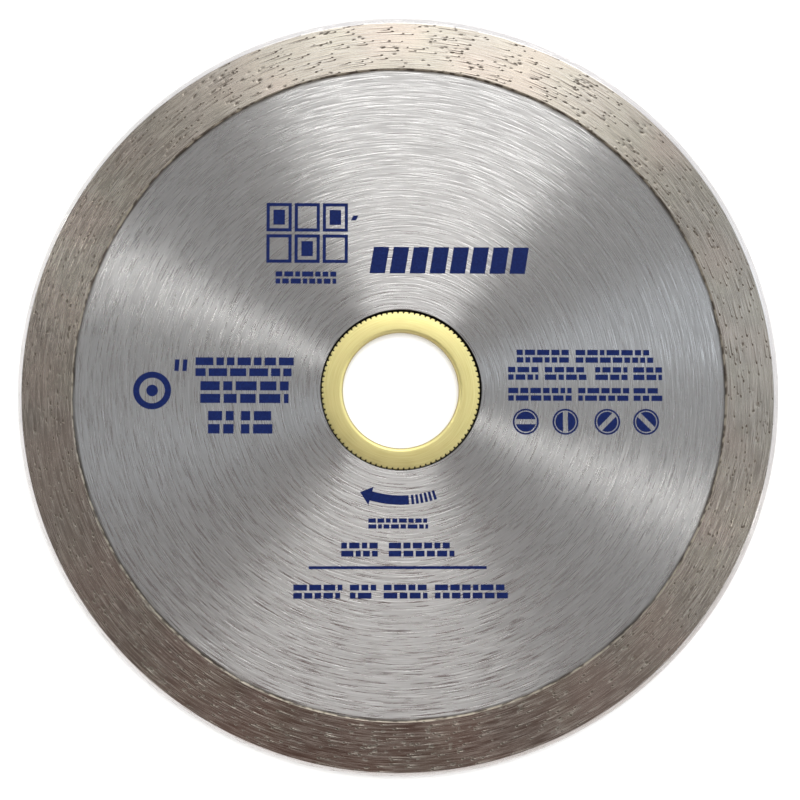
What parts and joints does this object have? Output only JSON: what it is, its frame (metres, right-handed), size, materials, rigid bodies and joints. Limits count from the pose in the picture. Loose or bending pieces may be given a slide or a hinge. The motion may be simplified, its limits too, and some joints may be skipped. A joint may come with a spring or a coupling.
{
  "type": "diamond blade",
  "caption": "Continuous-rim diamond blade for wet-cutting tile: a steel disc core, a thicker sintered abrasive rim and a push-in knurled reducing bush.",
  "frame": {"origin": "middle of the bore, halfway through the core's thickness", "axes": "+Z along the spin axis, out of the marked face; +Y towards the top of the marking, +X to its right"},
  "size_m": [0.105, 0.105, 0.0018],
  "materials": {
    "core_steel": "bare steel, brushed round the spin axis",
    "rim_matrix": "sintered metal matrix with diamond grit, ground round the spin axis, with small pits",
    "bush_brass": "satin, fine turned lines",
    "marking_ink": "screen-printed dark blue ink on the core"
  },
  "bodies": {
    "blade": {"steel_core": "core_steel", "diamond_rim": "rim_matrix"},
    "bush": {"reducing_bush": "bush_brass"}
  },
  "joints": [
    {"name": "bush_push_out", "type": "slide", "parent": "blade", "child": "bush", "axis": [0, 0, 1], "range_m": [0, 0.006]}
  ]
}
